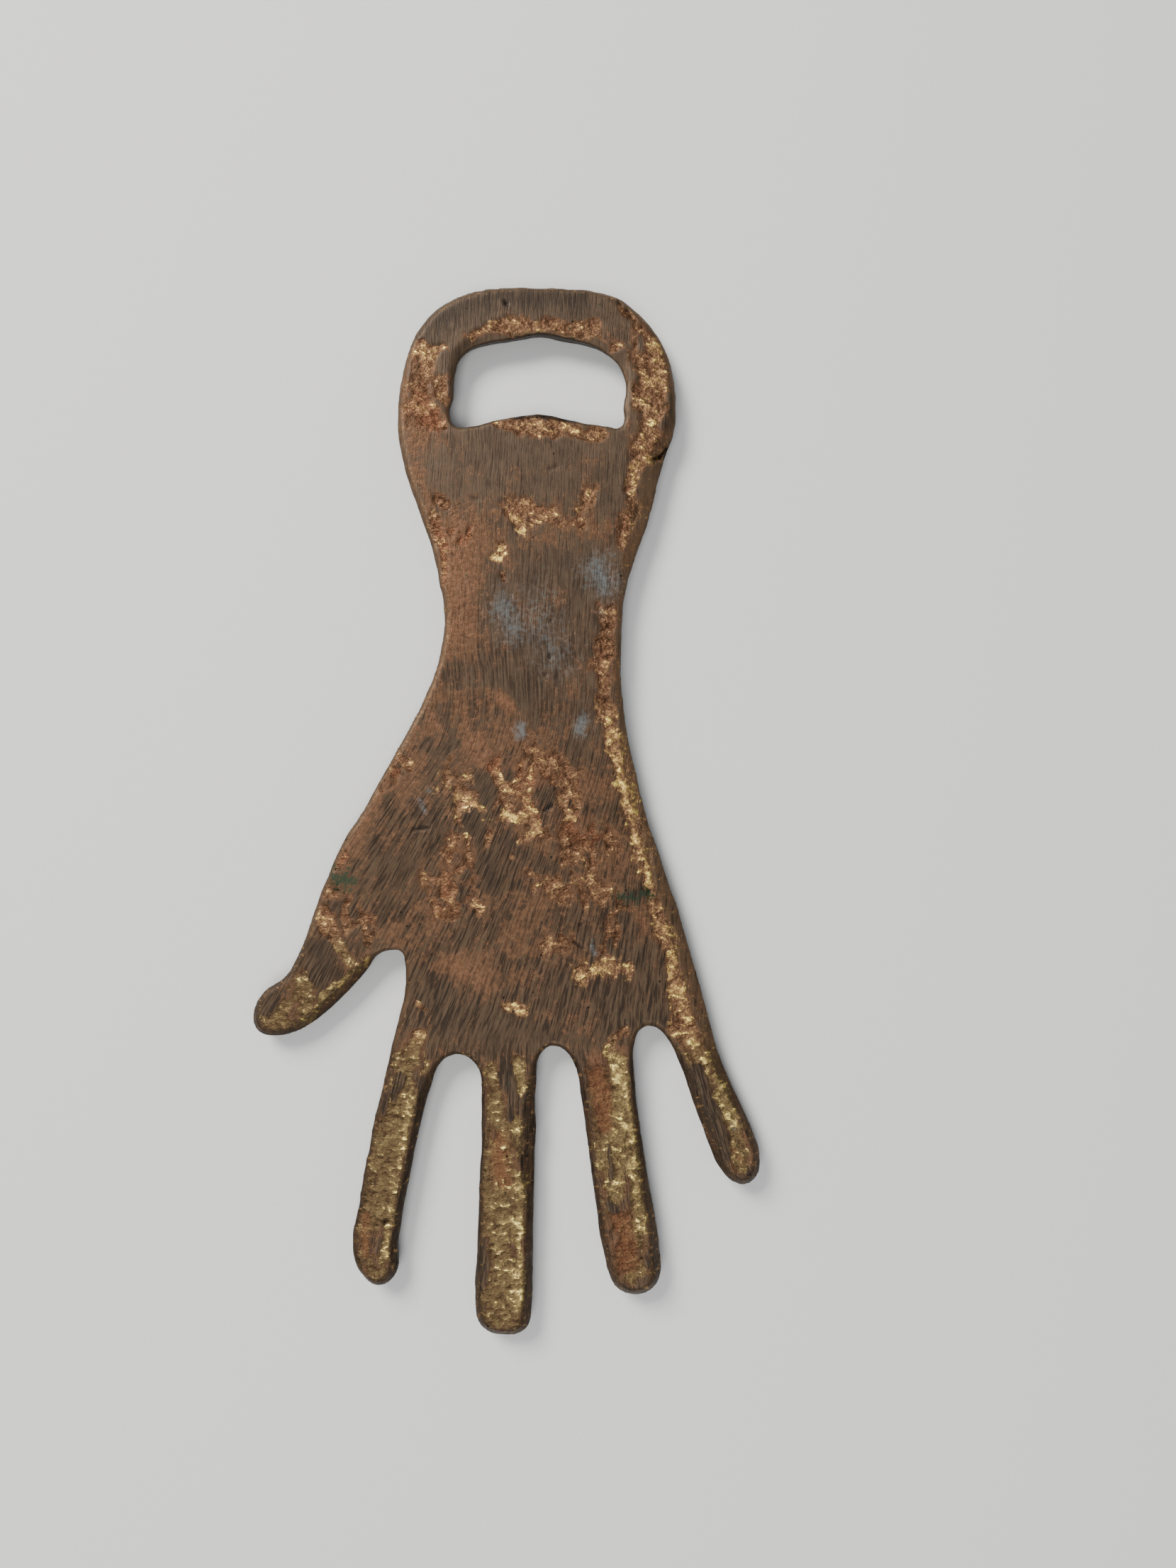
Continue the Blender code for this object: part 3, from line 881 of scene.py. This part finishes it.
def filed_colour(g):
    """Filed metal: brown to orange, darker in places, with the file's hairlines and scores."""
    brown = g.mix(g.mottle, FILED_DARK, FILED_LIGHT)
    brown = g.mix(g.between(g.scoring, 0.6, 1.0, 0.0, 0.8), brown, PALM_BROWN)
    filed = g.mix(g.warm, brown, WARM_BROWN)
    filed = g.mix(g.times(g.between(g.fine, 0.5, 0.64), g.warm), filed, WARM_LIGHT)
    filed = g.mix(g.times(g.between(g.fine, 0.46, 0.34, 0.0, 0.7), g.warm), filed, WARM_DEEP)
    pink = g.times(g.between(g.field("red"), 0.55, 1.0, 0.0, 0.45), g.between(g.fine, 0.36, 0.6))
    filed = g.mix(pink, filed, WARM_PINK)
    filed = g.mix(g.between(g.hair, 0.48, 0.7, 0.0, 0.45), filed, HAIRLINE)
    # Towards the deep brown on dark filed areas, and as painted shade on the ring's top.
    dark = g.add_up(g.field("dark"), g.centred(g.fray, 1.0), g.centred(g.hair, -2.6))
    filed = g.mix(g.between(dark, 0.15, 0.85, 0.0, 0.75), filed, FILED_DEEP_AND_PAINTED_SHADE)
    return g.mix(g.times(g.scored, 0.8), filed, SCORE)


def skin_colour(g):
    """Cast skin: brown in hollows, orange-brown or olive between, brass with painted highlight on high
    points.
    """
    tone = g.add_up(g.height, g.times(g.tone, 0.55), g.between(g.depth, 0.4, 0.9, -0.16, 0.0))
    orange = g.ramp(tone, -0.4, 1.0, SKIN_ORANGE)
    olive = g.ramp(tone, -0.4, 1.0, SKIN_OLIVE)
    red = g.times(g.between(g.field("red"), 0.4, 0.85), g.between(tone, 0.8, 0.3, 0.0, 0.5))
    return g.mix(red, g.mix(g.fingers, orange, olive), RED_PATINA)


def back_colour(g):
    """The back: mottled cast brown."""
    back = g.mix(g.mottle, BACK_DARK, BACK_LIGHT)
    back = g.mix(g.between(g.cloud, 0.46, 0.62, 0.0, 0.7), back, WARM_BROWN)
    return g.mix(g.between(g.fine, 0.5, 0.36, 0.0, 0.6), back, SCORE)


def bare_colour(g):
    """Plain brown for facets and sides, with the back's own colour. Facets are darker on the fingers."""
    # Facet brown on the head and palm is partly painted light, and on the fingers partly painted shade.
    bare = g.mix(g.fingers, FACET_BROWN_PAINTED_LIGHT, FINGER_FACET_PAINTED_SHADE)
    # The sides' dark brown is partly painted shade.
    bare = g.mix(g.field("side"), bare, SIDE_BROWN_PAINTED_SHADE)
    bare = g.mix(g.between(g.fine, 0.45, 0.65, 0.0, 0.35), bare, SPECKLE)
    bare = g.mix(g.field("back"), bare, back_colour(g))
    return g.mix(g.times(g.scored, g.blend(g.field("back"), 0.5, 0.15)), bare, SCORE)


def worn_specks(g):
    """Where the facets are worn to specks of bright metal."""
    specks = g.between(g.add_up(g.fine, g.centred(g.ripple, 1.0)), 0.6, 0.84)
    return g.times(g.times(specks, g.facet), 0.5)


def stained(g, colour):
    """The colour with blue-grey stains and verdigris on it."""
    grey = g.add_up(g.field("grey"), g.centred(g.fine, 1.5), g.centred(g.hair, 0.7))
    colour = g.mix(g.between(grey, 0.25, 1.1, 0.0, 0.85), colour, BLUE_GREY)
    green = g.add_up(g.field("green"), g.centred(g.fine, 3.6), g.centred(g.hair, 1.6))
    return g.mix(g.between(green, 0.4, 1.0, 0.0, 0.85), colour, DARK_GREEN)


def holed(g, colour):
    """The colour with dark dents and small scattered pits in it."""
    dots = g.add("ShaderNodeTexVoronoi")
    g.put(dots.inputs["Vector"], g.place)
    dots.inputs["Scale"].default_value = 0.3
    pits = g.times(g.between(dots.outputs["Distance"], 0.07, 0.04), g.between(g.cloud, 0.47, 0.53))
    return g.mix(g.maths("MAXIMUM", g.times(g.field("dent"), 0.85), pits), colour, HOLE)


def roughness(g):
    """Smoother in the file's dark strokes and on the skin's high points, and even off the front."""
    filed = g.between(g.hair, 0.3, 0.7, 0.42, 0.56)
    skin = g.between(g.height, 0.0, 0.6, 0.52, 0.38)
    return g.blend(g.bare, g.blend(g.skin, filed, skin), 0.5)


def fine_relief(g):
    """Heights too fine for the mesh, in millimetres and near 0 on average: strokes, skin grain and sand."""
    strokes = g.maths("SUBTRACT", g.centred(g.hair, 0.028), g.times(g.scored, 0.03))
    patina = g.times(g.centred(g.fine, 0.12), g.warm)
    ripples = g.times(g.centred(g.ripple, 1.0), g.blend(g.fingers, 0.5, 0.38))
    skin = g.add_up(ripples, g.centred(g.fine, 0.08), -0.03)
    sand = g.centred(g.grain(g.place, 1.8, detail=3.0, rough=0.6), 0.12)
    return g.blend(g.front, sand, g.blend(g.skin, g.add_up(strokes, patina), skin))


def aged_brass():
    """Brown filed brass with orange patina, brassy cast skin in its hollows, stains and file strokes."""
    g = BrassGraph()
    colour = g.mix(g.skin, filed_colour(g), skin_colour(g))
    colour = g.mix(g.bare, colour, bare_colour(g))
    colour = g.mix(worn_specks(g), colour, WORN_RIM)
    g.put(g.shader.inputs["Base Color"], holed(g, stained(g, colour)))
    g.put(g.shader.inputs["Metallic"], g.blend(g.skin, 0.6, 0.9))
    g.put(g.shader.inputs["Specular IOR Level"], 0.3)
    g.put(g.shader.inputs["Roughness"], roughness(g))
    bump = g.add("ShaderNodeBump")
    bump.inputs["Distance"].default_value = MM
    bump.inputs["Strength"].default_value = 1.0
    g.put(bump.inputs["Height"], fine_relief(g))
    g.put(g.shader.inputs["Normal"], bump.outputs[0])
    return g.material


def floor_below(level):
    """A plain pale floor at the level, in metres."""
    reach = FLOOR_REACH * MM
    corners = [(x * reach, y * reach, level) for x, y in ((-1, -1), (1, -1), (1, 1), (-1, 1))]
    mesh = bpy.data.meshes.new("floor")
    mesh.from_pydata(corners, [], [(0, 1, 2, 3)])
    pale = bpy.data.materials.new("pale_floor")
    pale.use_nodes = True
    shader = pale.node_tree.nodes["Principled BSDF"]
    shader.inputs["Base Color"].default_value = PALE_FLOOR
    shader.inputs["Roughness"].default_value = 0.9
    mesh.materials.append(pale)
    floor = bpy.data.objects.new("floor", mesh)
    bpy.context.scene.collection.objects.link(floor)


def soft_room():
    """Even, faintly blue light from all around."""
    world = bpy.data.worlds.new("soft_room")
    world.use_nodes = True
    backdrop = world.node_tree.nodes["Background"]
    backdrop.inputs["Color"].default_value = (0.92, 0.96, 1.0, 1.0)
    backdrop.inputs["Strength"].default_value = 0.36
    bpy.context.scene.world = world


def area_light(name, place, size, power, colour):
    """A square soft light aimed at the middle of the piece."""
    lamp = bpy.data.lights.new(name, "AREA")
    lamp.size = size * MM
    lamp.energy = power
    lamp.color = colour
    light = bpy.data.objects.new(name, lamp)
    light.location = Vector(place) * MM
    light.rotation_euler = (-Vector(place)).to_track_quat("-Z", "Y").to_euler()
    bpy.context.scene.collection.objects.link(light)


def camera(top):
    """A phone's view of the palm, almost straight down onto the top face."""
    lens = bpy.data.cameras.new("camera")
    lens.sensor_width = SENSOR_WIDTH
    lens.lens = FOCAL_LENGTH
    lens.clip_start = 0.01
    right = Vector((math.cos(TURN), math.sin(TURN), 0))
    ahead = Vector((-math.sin(TURN), math.cos(TURN), 0))
    back = -ahead * math.sin(TILT) + Vector((0, 0, math.cos(TILT)))
    axes = Matrix((right, back.cross(right), back)).transposed().to_4x4()
    place = Vector((*AIM, top / MM)) + back * CAMERA_DISTANCE
    view = bpy.data.objects.new("camera", lens)
    view.matrix_world = Matrix.Translation(place * MM) @ axes
    bpy.context.scene.collection.objects.link(view)
    bpy.context.scene.camera = view


def main():
    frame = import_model()
    cad_low, cad_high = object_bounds()
    casting = fine_copy(frame["nodes"]["opener_casting"])
    thin_back(casting)
    work_the_surface(casting.data)
    casting.data.shade_smooth()
    casting.data.materials.clear()
    casting.data.materials.append(aged_brass())
    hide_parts("opener_casting")
    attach(casting, "root")
    floor_below(cad_low.z - FLOOR_GAP * MM)
    soft_room()
    area_light("window", (-520, 560, 640), size=420, power=13.0, colour=(1.0, 0.98, 0.95))
    area_light("ceiling", (-60, -300, 600), size=320, power=2.2, colour=(1.0, 1.0, 1.0))
    camera(cad_high.z)


main()
